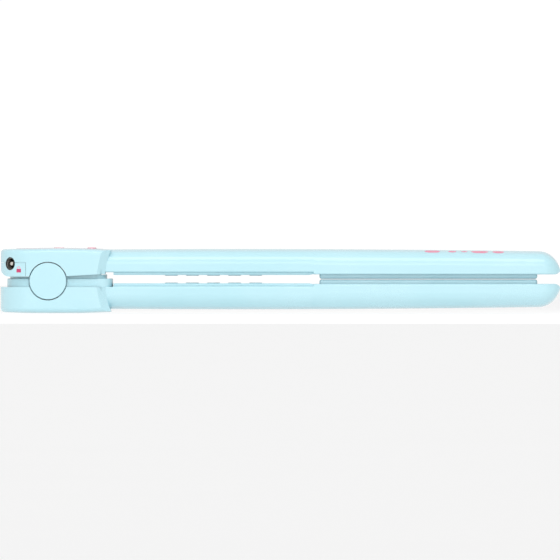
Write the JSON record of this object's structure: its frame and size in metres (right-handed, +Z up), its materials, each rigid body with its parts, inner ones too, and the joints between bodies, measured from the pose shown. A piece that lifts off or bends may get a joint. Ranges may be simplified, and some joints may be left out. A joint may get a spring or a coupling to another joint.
{
  "type": "hair straightener",
  "caption": "Slim cordless hair straightener: two hinged arms with sprung heating plates, a rounded hinge head with round side caps, push buttons and a charging socket.",
  "frame": {"origin": "on the resting plane, under the middle of the overall length and width", "axes": "+X from the hinge head to the tips, +Y across the arms, +Z up from the lower arm to the upper arm; the two plates meet on a plane parallel to XY"},
  "size_m": [0.284, 0.038, 0.0333],
  "materials": {
    "shell_plastic": "smooth pale aqua gloss plastic",
    "screw_steel": "nickel plated",
    "battery_wrap": "printed heat-shrink film",
    "lead_insulation": "silicone insulation",
    "plate_coating": "ceramic coated aluminium, satin",
    "heater_ceramic": "plain ceramic strip",
    "carrier_plastic": "glass-filled heat-proof plastic",
    "sensor_glass": "glass bead",
    "spring_steel": "spring wire",
    "bracket_steel": "zinc plated",
    "bush_plastic": "acetal",
    "panel_plastic": "pearl inlay",
    "button_plastic": "rose gloss",
    "lamp_plastic": "clear light guide",
    "board_laminate": "solder-masked laminate",
    "switch_plastic": "moulded switch",
    "socket_plastic": "black moulding",
    "contact_metal": "nickel plated contact"
  },
  "bodies": {
    "lower_arm": {"lower_shell": "shell_plastic", "hinge_block": "shell_plastic", "lower_inner_cover": "shell_plastic", "lower_cover_screws": "screw_steel", "lower_battery": "battery_wrap", "lower_battery_leads": "lead_insulation", "lower_hinge_bracket": "bracket_steel", "lower_bracket_screws": "screw_steel", "hinge_axle": "bracket_steel", "retaining_rings": "spring_steel", "hinge_spring": "spring_steel", "lower_plate_springs": "spring_steel"},
    "lower_plate_unit": {"lower_plate": "plate_coating", "lower_heater": "heater_ceramic", "lower_plate_carrier": "carrier_plastic", "lower_heat_sensor": "sensor_glass"},
    "upper_arm": {"upper_shell": "shell_plastic", "upper_rear_cover": "shell_plastic", "upper_inner_cover": "shell_plastic", "upper_cover_screws": "screw_steel", "upper_battery": "battery_wrap", "upper_battery_leads": "lead_insulation", "upper_hinge_bracket": "bracket_steel", "upper_bracket_screws": "screw_steel", "hinge_bushes": "bush_plastic", "upper_plate_springs": "spring_steel", "control_panel": "panel_plastic", "indicator_lamps": "lamp_plastic", "control_board": "board_laminate", "tact_switches": "switch_plastic", "socket_body": "socket_plastic", "socket_sleeve": "contact_metal", "socket_pin": "contact_metal"},
    "upper_plate_unit": {"upper_plate": "plate_coating", "upper_heater": "heater_ceramic", "upper_plate_carrier": "carrier_plastic", "upper_heat_sensor": "sensor_glass"},
    "power_button": {"power_button": "button_plastic"},
    "mode_button": {"mode_button": "button_plastic"},
    "lock_bolt": {"near_hinge_cap": "shell_plastic", "far_hinge_cap": "shell_plastic", "lock_rod": "bracket_steel"}
  },
  "joints": [
    {"name": "arm_hinge", "type": "hinge", "parent": "lower_arm", "child": "upper_arm", "pos_m": [-0.1178, 0, 0.0162], "axis": [0, -1, 0], "range_deg": [0, 9], "deforming": ["hinge_spring"]},
    {"name": "lower_plate_float", "type": "slide", "parent": "lower_arm", "child": "lower_plate_unit", "axis": [0, 0, -1], "range_m": [0, 0.0008], "stiffness_N_per_m": 3000, "springref_m": -0.001, "deforming": ["lower_plate_springs"]},
    {"name": "upper_plate_float", "type": "slide", "parent": "upper_arm", "child": "upper_plate_unit", "axis": [0, 0, 1], "range_m": [0, 0.0008], "stiffness_N_per_m": 3000, "springref_m": -0.001, "deforming": ["upper_plate_springs"]},
    {"name": "power_press", "type": "slide", "parent": "upper_arm", "child": "power_button", "axis": [0, 0, -1], "range_m": [0, 0.0005], "stiffness_N_per_m": 800, "springref_m": -0.001},
    {"name": "mode_press", "type": "slide", "parent": "upper_arm", "child": "mode_button", "axis": [0, 0, -1], "range_m": [0, 0.0005], "stiffness_N_per_m": 800, "springref_m": -0.001},
    {"name": "lock_slide", "type": "slide", "parent": "lower_arm", "child": "lock_bolt", "axis": [0, 1, 0], "range_m": [0, 0.0015]}
  ]
}
